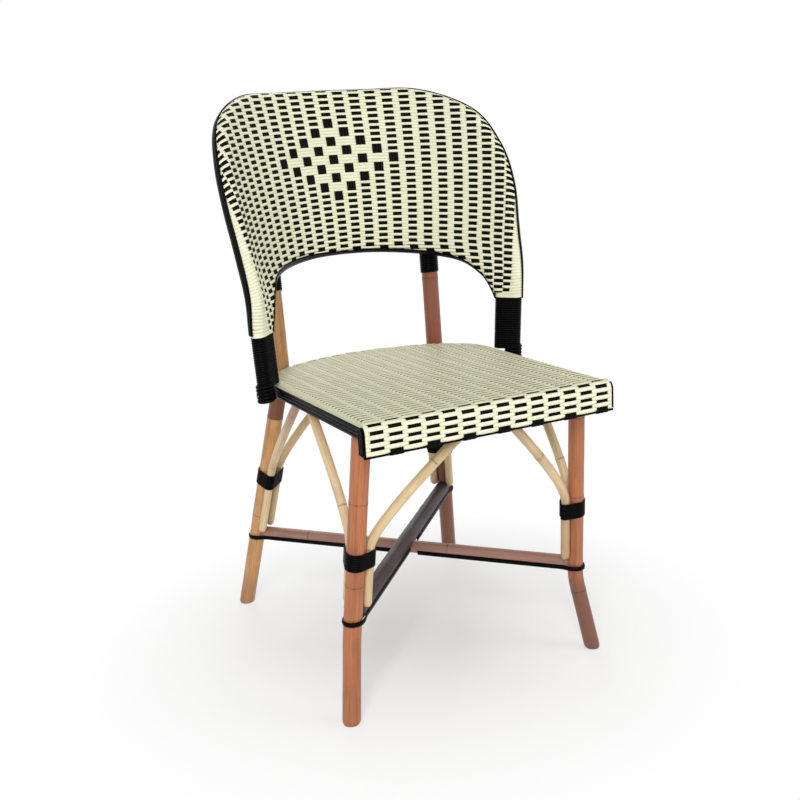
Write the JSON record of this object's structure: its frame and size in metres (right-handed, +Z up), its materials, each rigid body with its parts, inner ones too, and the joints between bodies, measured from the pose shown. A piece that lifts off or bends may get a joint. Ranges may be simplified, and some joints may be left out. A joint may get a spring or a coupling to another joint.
{
  "type": "bistro chair",
  "caption": "Cafe side chair of bent rattan poles with a woven seat, a woven barrel back, crossed stretchers and curved braces.",
  "frame": {"origin": "on the floor, under the middle of the chair's overall width and depth", "axes": "+Z up, -Y the way the sitter faces, +X to the right seen from the front"},
  "size_m": [0.4996, 0.5792, 0.8919],
  "materials": {
    "rattan_plain": "varnished",
    "rattan_orange": "varnished",
    "rattan_tan": "varnished",
    "rattan_red": "varnished",
    "rattan_straw": "varnished",
    "rattan_mauve": "varnished",
    "rattan_grey": "varnished",
    "cane_cream": "satin",
    "cane_black": "gloss",
    "nail_steel": "plain"
  },
  "bodies": {
    "root": {"seat_bow": "rattan_plain", "front_rail": "rattan_plain", "apron_rail": "rattan_plain", "seat_weave": "cane_cream", "seat_edge_trim": "cane_black", "apron_edge_trim": "cane_black", "back_hoop": "rattan_tan", "back_arch": "rattan_tan", "back_weave": "cane_cream", "hoop_edge_trim": "cane_black", "arch_edge_trim": "cane_black", "side_binding_left": "cane_black", "side_binding_right": "cane_black", "hoop_lashing_left": "cane_black", "hoop_lashing_right": "cane_black", "front_leg_left": "rattan_orange", "front_leg_right": "rattan_orange", "rear_leg_left": "rattan_tan", "rear_leg_right": "rattan_red", "stretcher_low": "rattan_mauve", "stretcher_high": "rattan_grey", "stretcher_strap_front_left": "cane_black", "stretcher_strap_front_right": "cane_black", "stretcher_strap_rear_left": "cane_black", "stretcher_strap_rear_right": "cane_black", "brace_front_left": "rattan_straw", "brace_front_side_left": "rattan_straw", "brace_front_right": "rattan_straw", "brace_front_side_right": "rattan_straw", "brace_rear_left": "rattan_straw", "brace_rear_side_left": "rattan_straw", "brace_rear_right": "rattan_straw", "brace_rear_side_right": "rattan_straw", "leg_binding_front_left": "cane_black", "leg_binding_front_right": "cane_black", "leg_binding_rear_left": "cane_black", "leg_binding_rear_right": "cane_black", "post_binding_left": "cane_black", "post_binding_right": "cane_black", "cross_nail": "nail_steel", "stretcher_nail_front_left": "nail_steel", "stretcher_nail_front_right": "nail_steel", "stretcher_nail_rear_left": "nail_steel", "stretcher_nail_rear_right": "nail_steel", "front_leg_nail_left": "nail_steel", "front_leg_nail_right": "nail_steel", "seat_nail_left": "nail_steel", "seat_nail_right": "nail_steel", "post_nail_left": "nail_steel", "post_nail_right": "nail_steel", "hoop_nail_left": "nail_steel", "hoop_nail_right": "nail_steel"}
  },
  "joints": []
}
